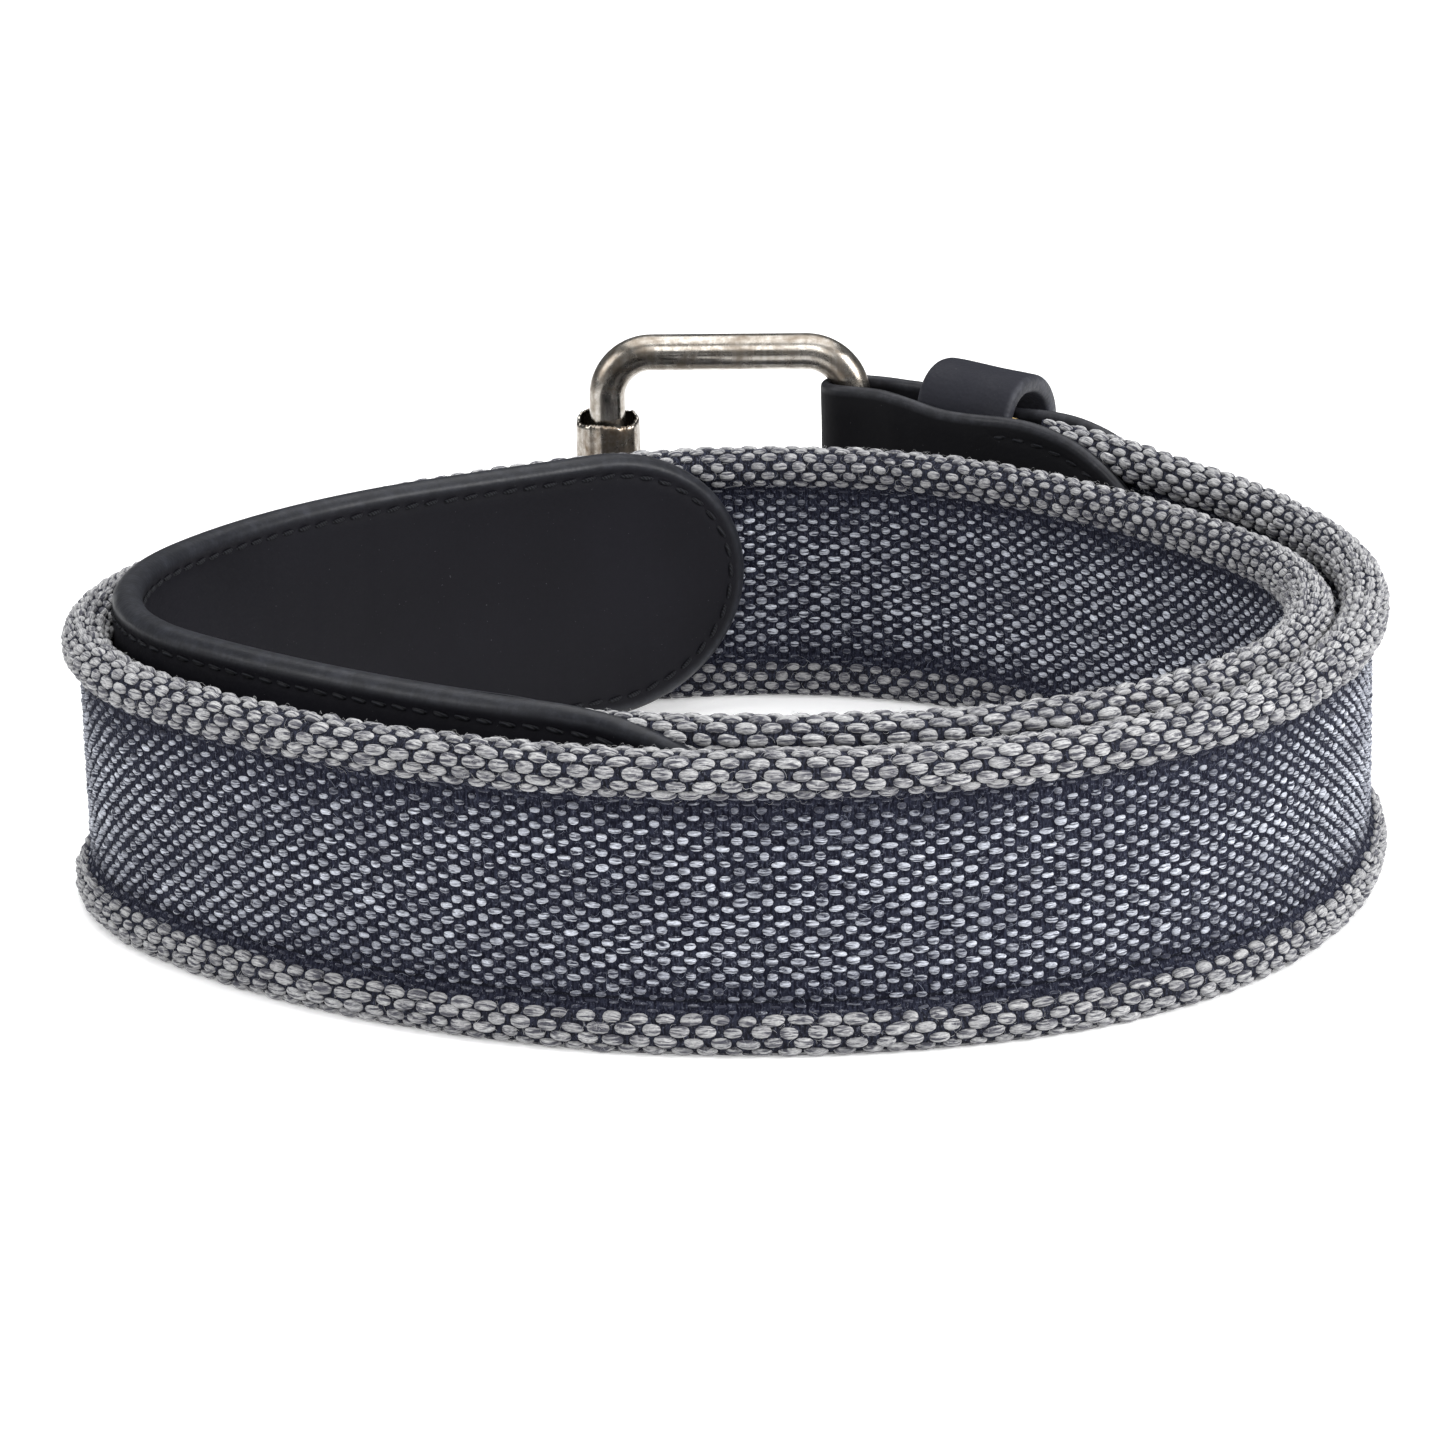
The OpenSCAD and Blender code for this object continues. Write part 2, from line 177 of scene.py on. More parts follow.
def mesh_object(name, points, faces, finish, body, weave=None):
    """A smooth mesh piece from points in mm and one or more arrays of faces, riding on a CAD body."""
    mesh = bpy.data.meshes.new(name)
    points = np.asarray(points, float).reshape(-1, 3) * MM
    faces = [faces] if isinstance(faces, np.ndarray) else faces
    sizes = np.concatenate([np.full(len(f), f.shape[1]) for f in faces])
    mesh.vertices.add(len(points))
    mesh.vertices.foreach_set("co", points.ravel())
    mesh.loops.add(int(sizes.sum()))
    mesh.loops.foreach_set("vertex_index", np.concatenate([f.ravel() for f in faces]))
    mesh.polygons.add(len(sizes))
    mesh.polygons.foreach_set("loop_start", np.cumsum(sizes) - sizes)
    mesh.update(calc_edges=True)
    mesh.polygons.foreach_set("use_smooth", [True] * len(mesh.polygons))
    if weave is not None:
        attribute = mesh.attributes.new("weave", "FLOAT_VECTOR", "POINT")
        attribute.data.foreach_set("vector", weave.astype(np.float32).ravel())
    mesh.materials.append(finish)
    piece = bpy.data.objects.new(name, mesh)
    bpy.context.scene.collection.objects.link(piece)
    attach(piece, body)
    return piece


def grid_faces(rows, columns, closed_rows=False, closed_columns=False):
    """Quads of a grid of points stored row by row."""
    r = np.arange(rows if closed_rows else rows - 1)
    c = np.arange(columns if closed_columns else columns - 1)
    r, c = (a.ravel() for a in np.meshgrid(r, c, indexing="ij"))
    r2, c2 = (r + 1) % rows, (c + 1) % columns
    return np.stack([r * columns + c, r * columns + c2, r2 * columns + c2, r2 * columns + c], axis=1)


def copies(faces, count, size):
    """Faces of count copies of a unit that has size points."""
    return (faces[None] + (np.arange(count) * size)[:, None, None]).reshape(-1, faces.shape[1])


def shell(front, back, keep=None):
    """A closed plate between two grids of points, with keep as a mask of its cells.

    Gives its points, its quads, and which of the grids' points it uses."""
    rows, columns = front.shape[:2]
    count = rows * columns
    quads = grid_faces(rows, columns)
    kept = np.ones((rows - 1, columns - 1), bool) if keep is None else keep
    padded = np.pad(kept, 1)
    inside = padded[1:-1, 1:-1]
    flat = kept.ravel()
    faces = [quads[flat], quads[flat][:, ::-1] + count]
    neighbours = [(padded[1:-1, :-2], 0, 3), (padded[1:-1, 2:], 2, 1),
                  (padded[:-2, 1:-1], 1, 0), (padded[2:, 1:-1], 3, 2)]
    for beside, a, b in neighbours:
        edge = (inside & ~beside).ravel()
        if edge.any():
            p, q = quads[edge][:, a], quads[edge][:, b]
            faces.append(np.stack([p, q, q + count, p + count], axis=1))
    points = np.concatenate([front.reshape(-1, 3), back.reshape(-1, 3)])
    faces = np.concatenate(faces)
    used, new = np.unique(faces, return_inverse=True)
    return points[used], new.reshape(faces.shape), used


# ---- materials ----


class Finish:
    """A material with one Principled shader, and short calls for its nodes."""

    def __init__(self, name, colour, roughness, **fixed):
        self.material = bpy.data.materials.new(name)
        self.material.use_nodes = True
        self.nodes = self.material.node_tree.nodes
        self.links = self.material.node_tree.links
        self.shader = self.nodes["Principled BSDF"]
        self.set("Base Color", colour)
        self.set("Roughness", roughness)
        for socket, value in fixed.items():
            self.set(socket.replace("_", " "), value)

    def set(self, socket, value):
        self.fill(self.shader.inputs[socket], value)

    def fill(self, socket, value):
        if isinstance(value, bpy.types.NodeSocket):
            self.links.new(value, socket)
        elif isinstance(value, (tuple, list)) and len(value) == 3 and socket.type == "RGBA":
            socket.default_value = (*value, 1)
        else:
            socket.default_value = value

    def node(self, kind, inputs=(), output=0, **settings):
        made = self.nodes.new(kind)
        for key, value in settings.items():
            setattr(made, key, value)
        for key, value in dict(inputs).items():
            self.fill(made.inputs[key], value)
        return made.outputs[output]

    def coordinates(self, scale=(1, 1, 1), attribute=None):
        """Object coordinates in metres, or the named attribute, stretched by scale."""
        if attribute:
            place = self.node("ShaderNodeAttribute", output="Vector", attribute_name=attribute)
        else:
            place = self.node("ShaderNodeTexCoord", output="Object")
        return self.node("ShaderNodeMapping", {"Vector": place, "Scale": scale})

    def noise(self, vector, scale, detail=3, roughness=0.55, distortion=0.0):
        return self.node("ShaderNodeTexNoise",
                         {"Vector": vector, "Scale": scale, "Detail": detail,
                          "Roughness": roughness, "Distortion": distortion}, output="Fac")

    def ramp(self, value, low, high, to_low=0.0, to_high=1.0):
        return self.node("ShaderNodeMapRange",
                         {"Value": value, "From Min": low, "From Max": high,
                          "To Min": to_low, "To Max": to_high})

    def math(self, operation, a, b):
        return self.node("ShaderNodeMath", {0: a, 1: b}, operation=operation)

    def mix(self, share, a, b):
        made = self.nodes.new("ShaderNodeMix")
        made.data_type = "RGBA"
        colours = [s for s in made.inputs if s.type == "RGBA"]
        self.fill(made.inputs[0], share)
        self.fill(colours[0], a)
        self.fill(colours[1], b)
        return [s for s in made.outputs if s.type == "RGBA"][0]

    def bump(self, height, depth, strength=1.0, normal=None):
        inputs = {"Height": height, "Distance": depth, "Strength": strength}
        if normal is not None:
            inputs["Normal"] = normal
        made = self.node("ShaderNodeBump", inputs)
        self.set("Normal", made)
        return made

    def weave_value(self, axis):
        """One number of the weave attribute: X along the belt and Y across it in mm, Z the shade."""
        place = self.node("ShaderNodeAttribute", output="Vector", attribute_name="weave")
        return self.node("ShaderNodeSeparateXYZ", {"Vector": place}, output=axis)


def yarn_finish(name, dark, light, strand_mm, groove_shade):
    """Spun cotton: strands with painted shade between them and between fibres, a shade of its own for
    every float, and fibre fuzz.
    """
    f = Finish(name, light, 0.95, Sheen_Weight=0.1, Sheen_Roughness=0.6, Specular_IOR_Level=0.1)
    strands = f.noise(f.coordinates((0.4, 1 / strand_mm, 1), "weave"), 1.0, 2, 0.6, 0.5)
    fibres = f.noise(f.coordinates((1.5, 9, 1), "weave"), 1.0, 2, 0.6, 0.8)
    specks = f.noise(f.coordinates(), 2400, 3, 0.7)
    body = f.mix(f.weave_value("Z"), dark, light)
    # Painted shade: the grooves between strands, and the streaks between fibres, are darkened towards
    # the dark groove colour.
    parted = f.mix(f.ramp(strands, 0.40, 0.54), groove_shade, body)
    fuzzy = f.mix(f.ramp(fibres, 0.38, 0.62, 0.6, 0), parted, groove_shade)
    bright = tuple(1.2 * c for c in light)
    f.set("Base Color", f.mix(f.ramp(specks, 0.58, 0.76, 0, 0.5), fuzzy, bright))
    rough = f.bump(specks, 0.00012, 0.6)
    f.bump(strands, 0.00022, 1.0, rough)
    return f.material


def fibre_finish(name, colour):
    """Loose fibres, a little darker and lighter by place."""
    f = Finish(name, colour, 0.9, Specular_IOR_Level=0.1)
    tone = f.noise(f.coordinates(), 700, 2, 0.5)
    f.set("Base Color", f.mix(tone, tuple(0.7 * c for c in colour), tuple(1.3 * c for c in colour)))
    return f.material


def ground_finish():
    """Navy cloth between the floats: fill yarns across the belt, darker in the roll's gaps."""
    f = Finish("navy_ground", (0.012, 0.013, 0.024), 0.95, Specular_IOR_Level=0.08)
    ribs = f.noise(f.coordinates((1 / 0.3, 0.9, 1), "weave"), 1.0, 2, 0.5, 0.5)
    lint = f.noise(f.coordinates(), 2600, 4, 0.75)
    base = f.mix(f.weave_value("Z"), (0.0050, 0.0053, 0.0110), (0.0085, 0.0085, 0.0120))
    ribbed = f.mix(f.ramp(ribs, 0.40, 0.68, 0, 0.8), base, (0.030, 0.033, 0.052))
    f.set("Base Color", f.mix(f.ramp(lint, 0.55, 0.72, 0, 0.7), ribbed, (0.17, 0.18, 0.23)))
    f.bump(ribs, 0.0003)
    return f.material


def leather_finish(name, face, edge, roughness, grain=0.00004):
    """Finished leather: fine grain, faint creases, lint, and scuffed edges where the edge mark is 1,
    lighter partly as burnish and partly as painted highlight.
    """
    f = Finish(name, face, roughness, Specular_IOR_Level=0.25)
    edge_mark = f.node("ShaderNodeAttribute", output="Fac", attribute_name="edge")
    cells = f.node("ShaderNodeTexVoronoi", {"Vector": f.coordinates(), "Scale": 1500.0},
                   output="Distance", feature="F1")
    pores = f.noise(f.coordinates(), 900, 4, 0.6)
    creases = f.noise(f.coordinates((1, 1, 0.15)), 110, 3, 0.5, 1.2)
    clouds = f.noise(f.coordinates(), 35, 3, 0.5)
    tone = f.mix(f.ramp(clouds, 0.35, 0.7), tuple(0.82 * c for c in face), tuple(1.2 * c for c in face))
    lint = f.noise(f.coordinates(), 3000, 2, 0.5)
    dusty = f.mix(f.ramp(lint, 0.74, 0.80, 0, 0.5), tone, (0.12, 0.12, 0.13))
    scuffs = f.noise(f.coordinates(), 420, 5, 0.75)
    # Lighter edges: partly burnished edge paint, partly painted highlight on the bevel; scuffs lighten
    # them further.
    edge_wear_and_highlight = f.mix(f.ramp(scuffs, 0.45, 0.75), edge, tuple(2.4 * c for c in edge))
    f.set("Base Color", f.mix(edge_mark, dusty, edge_wear_and_highlight))
    worn = f.ramp(creases, 0.3, 0.7, roughness - 0.06, roughness + 0.10)
    f.set("Roughness", f.math("SUBTRACT", worn, f.math("MULTIPLY", edge_mark, 0.14)))
    f.set("Specular IOR Level", f.ramp(edge_mark, 0, 1, 0.12, 0.24))
    first = f.bump(cells, grain, 0.5)
    second = f.bump(pores, grain, 0.6, first)
    f.bump(creases, 4 * grain, 0.35, second)
    return f.material


def thread_finish():
    """Waxed black thread, twisted."""
    f = Finish("waxed_thread", (0.004, 0.004, 0.006), 0.7, Specular_IOR_Level=0.2)
    twist = f.node("ShaderNodeTexWave", {"Vector": f.coordinates(), "Scale": 900.0,
                                         "Distortion": 1.5, "Detail": 1.0}, bands_direction="DIAGONAL")
    f.set("Base Color", f.mix(twist, (0.003, 0.003, 0.004), (0.012, 0.013, 0.017)))
    f.bump(twist, 0.0001)
    return f.material


def aged_metal(name, tarnish):
    """Antique nickel: bright worn metal with brown tarnish in patches and fine scratches."""
    f = Finish(name, (0.62, 0.60, 0.56), 0.3, Metallic=1.0)
    patches = f.noise(f.coordinates(), 160, 6, 0.62, 0.4)
    blots = f.noise(f.coordinates(), 900, 4, 0.7)
    scratches = f.noise(f.coordinates((25, 900, 900)), 1.0, 3, 0.6)
    scratches_up = f.noise(f.coordinates((900, 900, 25)), 1.0, 3, 0.6)
    both = f.math("MULTIPLY", scratches, scratches_up)
    share = f.ramp(f.math("ADD", patches, f.math("MULTIPLY", blots, 0.35)), 0.55, 0.85, 0.08, tarnish)
    clean = f.mix(f.ramp(both, 0.16, 0.36), (0.30, 0.275, 0.24), (0.55, 0.53, 0.495))
    f.set("Base Color", f.mix(share, clean, (0.135, 0.098, 0.065)))
    f.set("Roughness", f.ramp(share, 0, tarnish, 0.17, 0.38))
    first = f.bump(blots, 0.00003, 0.5)
    f.bump(both, 0.00004, 0.6, first)
    return f.material


def brass_finish():
    """Brass wire, dulled in patches."""
    f = Finish("staple_brass", (0.72, 0.52, 0.22), 0.28, Metallic=1.0)
    dull = f.noise(f.coordinates(), 700, 4, 0.6)
    f.set("Base Color", f.mix(f.ramp(dull, 0.4, 0.7), (0.80, 0.58, 0.24), (0.45, 0.30, 0.12)))
    return f.material


def raw_leather_finish():
    """The unfinished flesh side and cut board between leather layers."""
    f = Finish("raw_leather", (0.26, 0.16, 0.09), 0.9, Specular_IOR_Level=0.2)
    fibres = f.noise(f.coordinates((1, 1, 0.4)), 1100, 5, 0.7)
    f.set("Base Color", f.mix(f.ramp(fibres, 0.3, 0.7), (0.17, 0.10, 0.06), (0.36, 0.24, 0.14)))
    f.bump(fibres, 0.0002)
    return f.material


def floor_finish():
    """A white paper sweep that glows faintly as painted light, lifting the shaded floor inside the coil.
    """
    f = Finish("glowing_paper_sweep", (0.86, 0.86, 0.86), 0.85, Specular_IOR_Level=0.15)
    tooth = f.noise(f.coordinates(), 400, 3, 0.5)
    f.set("Base Color", f.mix(tooth, (0.855, 0.855, 0.857), (0.868, 0.868, 0.868)))
    # Painted light: the floor glows though it is no lamp, brightening the shade inside the coil.
    f.set("Emission Color", (1, 1, 1))
    f.set("Emission Strength", 0.28)
    return f.material


# ---- the webbing ----

PANEL_ROWS, FILLET_ROWS, ROLL_ROWS = 26, 2, 10
FILL_PITCH = 1.64


def section_outline():
    """The band's cross-section as a closed loop of points (n, z) with outward normals.

    It starts at the foot of the outer panel and runs up, over the upper roll and down the inner side.
    The distances along it and the lengths of a panel, a fillet and a roll come with it."""
    roll_z = WEB_H / 2 - ROLL_R
    out = PANEL_HALF + FILLET_R
    drop = (((ROLL_R + FILLET_R) ** 2) - out**2) ** 0.5
    lean = np.arctan2(out, drop)
    panel_z = roll_z - drop
    panel = [(PANEL_HALF, z, 1, 0) for z in np.linspace(-panel_z, panel_z, 40)]
    fillet = [(out - FILLET_R * np.cos(a), panel_z + FILLET_R * np.sin(a), np.cos(a), -np.sin(a))
              for a in np.linspace(0, pi / 2 - lean, 8)[1:]]
    roll = [(ROLL_R * np.sin(a), roll_z + ROLL_R * np.cos(a), np.sin(a), np.cos(a))
            for a in np.linspace(pi - lean, -(pi - lean), 48)[1:]]
    first = np.array(panel + fillet + roll)
    back_fillet = np.array(fillet)[::-1] * (-1, 1, -1, 1)
    half = np.concatenate([first, back_fillet[1:], [(-PANEL_HALF, panel_z, -1, 0)]])
    loop = np.concatenate([half, (half * (-1, -1, -1, -1))[:-1]])
    steps = np.linalg.norm(np.diff(loop[:, :2], axis=0, append=loop[:1, :2]), axis=1)
    along = np.concatenate([[0], np.cumsum(steps)])
    return np.concatenate([loop, loop[:1]]), along, 2 * panel_z, FILLET_R * (pi / 2 - lean), \
        ROLL_R * 2 * (pi - lean)


SECTION, SECTION_V, PANEL_L, FILLET_L, ROLL_L = section_outline()


def pressed(s):
    """1 where the band has its full thickness, falling to a fifth inside the leather ends."""
    full = smooth(*TAB_PRESS, s) * (1 - smooth(*TIP_PRESS, s))
    return PRESSED_SHARE + (1 - PRESSED_SHARE) * full


def cloth(s, v, h=0.0):
    """Points on the band: s along it, v round its cross-section, h above the cloth."""
    s, v, h = np.broadcast_arrays(*(np.asarray(a, float) for a in (s, v, h)))
    v = v % SECTION_V[-1]
    n, z, nn, nz = (np.interp(v, SECTION_V, SECTION[:, k]) for k in range(4))
    return spot(s, (n + nn * h) * pressed(s), lift(s) + WEB_H / 2 + z + nz * h * 0.9)


def row_table():
    """Every warp row round the band: (middle, half width, zone), zone 0 panel, 1 fillet, 2 roll."""
    rows, v = [], 0.0
    for length, count, zone in [(PANEL_L, PANEL_ROWS, 0), (FILLET_L, FILLET_ROWS, 1),
                                (ROLL_L, ROLL_ROWS, 2), (FILLET_L, FILLET_ROWS, 1)] * 2:
        pitch = length / count
        for i in range(count):
            rows.append((v + (i + 0.5) * pitch, pitch / 2, zone))
        v += length
    return np.array(rows)


ROWS = row_table()
HALF_ROWS = len(ROWS) // 2
# How far the fill yarns lean, as distance along the belt per distance up, by distance along it
LEAN = [(0, 0), (230, 0.02), (290, 0.06), (330, 0.22), (380, 0.34), (430, 0.10), (520, 0),
        (620, -0.12), (800, 0)]
YARN_START, YARN_END = 36, 772
FIBRES_START, FIBRES_END = 42, 764
YARN_SINK = {"roll": 0.10, "panel": 0.05}


def looser(s, v):
    """1 where the rolled edges' yarn is sparser: on their inner side, at the coil's inner turn."""
    inner_side = smooth(0.3, -0.6, np.interp(v, SECTION_V, SECTION[:, 2]))
    return inner_side * smooth(420, 450, s) * smooth(640, 600, s)


def floats(wanted, start, end):
    """The light floats of some rows: s, v, half length, half width, height and shade of each."""
    found = []
    columns = np.arange(int(start / FILL_PITCH), int(end / FILL_PITCH))
    for j in wanted:
        v, half, zone = ROWS[j]
        i = columns[(columns + j) % 2 == 0]
        count = len(i)
        z = np.interp(v, SECTION_V, SECTION[:, 1])
        s = i * FILL_PITCH + table(LEAN, i * FILL_PITCH) * z
        s = s + rng.normal(0, 0.09, count)
        v = v + rng.normal(0, 0.05 * half * 2, count)
        round_one = (j % 2) * np.ones(count)
        if zone == 2:
            loose = looser(s, v)
            a, b, h = 1.34 - 0.26 * loose, (1.04 - 0.10 * loose) * half, 0.55 - 0.1 * loose
            shade = 0.84 - 0.22 * loose
        elif zone == 1:
            a, b, h = 0.75 + 0 * s, 0.55 * half + 0 * s, 0.16 + 0 * s
            # The fillet's floats sit in the groove beside the roll and are dim: partly dye, partly
            # painted shade.
            shade = 0.12 + 0 * s
        else:
            edge = (min(abs(z), PANEL_L / 2) / (PANEL_L / 2)) ** 6
            low = np.clip(0.5 - z / PANEL_L, 0, 1)
            a = (0.84 - 0.10 * round_one + 0.08 * low) * (1 - 0.25 * edge)
            b = half * (0.84 + 0.26 * round_one + 0.12 * low) * (1 - 0.2 * edge)
            h = 0.34 + 0.06 * round_one
            # Darker towards the panel's edges, by the grooves under the rolls: partly dye, partly
            # painted shade.
            shade = (0.92 - 0.20 * round_one) * (1 - 0.7 * edge)
        size = rng.normal(1, 0.11, count)
        patch = 0.10 * np.sin(s / 9.0 + 0.35 * z) + 0.08 * np.sin(s / 23.0 - 0.5 * z)
        shade = np.clip(shade + rng.normal(0, 0.13, count) + patch * (zone == 0), 0, 1)
        wide = rng.normal(1, 0.09, count)
        found.append(np.stack([s, v, a * size, b * wide, h * size, shade], axis=1))
    return np.concatenate(found)


def grain_unit(rings, sides):
    """A long grain of unit size: its points as (along, across, up), its quads and its triangles."""
    p = np.sin(np.linspace(-1, 1, rings + 2) * pi / 2)[1:-1] * 0.97
    girth = (1 - np.abs(p) ** 2.6) ** 0.5
    turn = (np.arange(sides) + 0.5) * 2 * pi / sides
    ring = np.stack([np.repeat(p, sides), np.outer(girth, np.cos(turn)).ravel(),
                     np.outer(girth, np.sin(turn)).ravel()], axis=1)
    points = np.concatenate([ring, [(-1, 0, 0), (1, 0, 0)]])
    quads = grid_faces(rings, sides, closed_columns=True)[:, ::-1]
    k = np.arange(sides)
    first, last = len(points) - 2, len(points) - 1
    start = np.stack([k, (k + 1) % sides, 0 * k + first], axis=1)
    top = (rings - 1) * sides
    end = np.stack([top + (k + 1) % sides, top + k, 0 * k + last], axis=1)
    return points, quads, np.concatenate([start, end])


def above_floor(points):
    """The same points, with none below the floor."""
    points[..., 2] = np.maximum(points[..., 2], 0)
    return points


def grains(name, rows, rings, sides, sink, finish):
    """One piece with a plump grain for every float, each tilted a little and arched."""
    unit, quads, tris = grain_unit(rings, sides)
    count, size = len(rows), len(unit)
    s0, v0, a, b, h, shade = (rows[:, k, None] for k in range(6))
    tilt = rng.normal(0, 0.09, (count, 1))
    along, across, up = unit[:, 0] * a, unit[:, 1] * b, unit[:, 2] * h
    arch = 0.25 * h * (1 - unit[:, 0] ** 2)
    s = s0 + along + tilt * across
    v = v0 + across - tilt * along
    points = above_floor(cloth(s, v, up + arch - sink))
    weave = np.stack([s + 7.3 * shade, v, np.broadcast_to(shade, s.shape)], axis=-1)
    faces = [copies(quads, count, size), copies(tris, count, size)]
    piece = mesh_object(name, points, faces, finish, "belt", weave)


def fuzz(name, zone, count, base, rise, finish):
    """Loose fibres over the rows of one zone, as thin bent prisms."""
    rows = ROWS[ROWS[:, 2] == zone]
    row = rows[rng.integers(0, len(rows), count)]
    s0 = rng.uniform(FIBRES_START, FIBRES_END, count)[:, None, None]
    v0 = (row[:, 0] + rng.normal(0, 1, count) * row[:, 1])[:, None, None]
    way = rng.normal(0, 0.9, count)[:, None, None]
    length = rng.uniform(0.5, 1.9, count)[:, None, None]
    curl = rng.normal(0, 0.35, count)[:, None, None]
    peak = base + rise * rng.random(count)[:, None, None] ** 2
    rings, sides = 5, 3
    t = np.linspace(0, 1, rings)[None, :, None]
    turn = (np.arange(sides) * 2 * pi / sides)[None, None, :]
    girth = 0.02 * (1 - 0.6 * t)
    along = length * (t - 0.5)
    across = curl * length * (t - 0.5) ** 2 * 4 + girth * np.cos(turn)
    s = s0 + along * np.cos(way) - across * np.sin(way)
    v = v0 + along * np.sin(way) + across * np.cos(way)
    foot = base * 0.4
    h = foot + (peak - foot) * np.sin(pi * np.minimum(1, 0.15 + t)) + girth * np.sin(turn)
    top = (rings - 1) * sides
    caps = np.array([[0, 2, 1], [top, top + 1, top + 2]])
    faces = [copies(grid_faces(rings, sides, closed_columns=True), count, rings * sides),
             copies(caps, count, rings * sides)]
    piece = mesh_object(name, above_floor(cloth(s, v, h)), faces, finish, "belt")


def webbing():
    """The dark ground cloth, then the yarn of the rolls and of the panels, then loose fibres."""
    s = np.arange(WEB_START, WEB_END + 0.1, FILL_PITCH)
    v = np.concatenate([ROWS[:, 0], ROWS[:, 0] + ROWS[:, 1]])
    v.sort()
    in_roll = (np.interp(v, ROWS[:, 0], ROWS[:, 2]) > 1.5) * 1.0
    points = cloth(s[:, None], v[None, :])
    weave = np.stack(np.broadcast_arrays(s[:, None], v[None, :], in_roll[None, :]), axis=-1)
    faces = grid_faces(len(s), len(v), closed_columns=True)[:, ::-1]
    ground = mesh_object("webbing_ground", points, faces, ground_finish(), "belt", weave)
    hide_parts("webbing")

    # The pale and blue yarns' dark groove colours are painted shade between their strands.
    pale = yarn_finish("pale_yarn", dark=(0.15, 0.15, 0.16), light=(0.52, 0.52, 0.52),
                       strand_mm=0.34, groove_shade=(0.06, 0.06, 0.075))
    blue = yarn_finish("blue_yarn", dark=(0.035, 0.037, 0.058), light=(0.70, 0.73, 0.81),
                       strand_mm=0.28, groove_shade=(0.025, 0.027, 0.042))
    roll = ROWS[:, 2] == 2
    upper = np.arange(len(ROWS)) < HALF_ROWS
    for name, rows in [("upper", roll & upper), ("lower", roll & ~upper)]:
        found = floats(np.flatnonzero(rows), YARN_START, YARN_END)
        grains(f"{name}_roll_yarn", found, 5, 8, YARN_SINK["roll"], pale)
    split = (YARN_START + YARN_END) / 2
    outer_side = SECTION[np.searchsorted(SECTION_V, ROWS[:, 0]), 0] > 0
    for name, rows in [("outer", ~roll & outer_side), ("inner", ~roll & ~outer_side)]:
        for part, a, b in [("first", YARN_START, split), ("second", split, YARN_END)]:
            found = floats(np.flatnonzero(rows), a, b)
            grains(f"{name}_panel_yarn_{part}", found, 4, 6, YARN_SINK["panel"], blue)
    fuzz("roll_fibres", 2, 7000, 0.5, 0.45, fibre_finish("pale_fibre", (0.40, 0.40, 0.405)))
    fuzz("panel_fibres", 0, 6000, 0.36, 0.25, fibre_finish("blue_fibre", (0.26, 0.28, 0.34)))


# ---- leather plates ----


def edge_distance(s, z, start, end, start_round, end_round, half_h):
    """Distance inwards from the outline of a strip with long round ends."""
    back = np.maximum(0, start + start_round - s) / start_round
    ahead = np.maximum(0, s - (end - end_round)) / end_round
    ds, reach = np.where(back > 0, back, ahead), np.where(back > 0, start_round, end_round)
    rho = np.sqrt(ds**2 + (z / half_h) ** 2)
    slope = np.sqrt((ds / reach) ** 2 + (z / half_h**2) ** 2) / np.maximum(rho, 1e-6)
    return np.maximum(0, (1 - rho) / np.maximum(slope, 1e-4))


def strip_grid(start, end, start_round, end_round, half_h, rows, columns):
    """(s, z) of a grid that fills a strip with long round ends, finest at its edges."""
    theta = np.linspace(-pi / 2, pi / 2, rows)
    w, c = np.sin(theta), np.cos(theta)
    t = np.linspace(0, 1, columns)
    t = 0.55 * (0.5 - 0.5 * np.cos(pi * t)) + 0.45 * t
    first = start + start_round * (1 - c)
    last = end - end_round * (1 - c)
    s = first[:, None] + (last - first)[:, None] * t[None, :]
    return s, np.broadcast_to((w * half_h)[:, None], s.shape)


def rounded(d, radius):
    """0 at the edge, rising along a quarter circle to 1 at the radius."""
    return np.sqrt(np.clip(1 - (1 - np.minimum(d / radius, 1)) ** 2, 0, 1))


def mark_edges(piece, marks):
    attribute = piece.data.attributes.new("edge", "FLOAT", "POINT")
    attribute.data.foreach_set("value", marks.astype(np.float32).ravel())


def cloth_half(s, z):
    """Half of the band's thickness over its yarn, at a height from its middle."""
    roll_z = WEB_H / 2 - ROLL_R
    over = np.sqrt(np.maximum(0, ROLL_R**2 - (np.maximum(np.abs(z), roll_z) - roll_z) ** 2))
    ball = np.sqrt(np.maximum(0, ROLL_R**2 - (np.abs(z) - roll_z) ** 2))
    half = np.where(np.abs(z) > roll_z, np.maximum(over, 0.6 * ROLL_R), np.maximum(ball, PANEL_HALF))
    return (half + 0.35) * pressed(s)


def tip_under(s, z):
    """From the path to the underside of the tip's layers: draped over the webbing, then on the core."""
    over_cloth = 1 - smooth(*OFF_CLOTH, s)
    flat = PANEL_HALF + CLEAR
    return np.maximum(flat, cloth_half(s, z)) * over_cloth + flat * (1 - over_cloth)


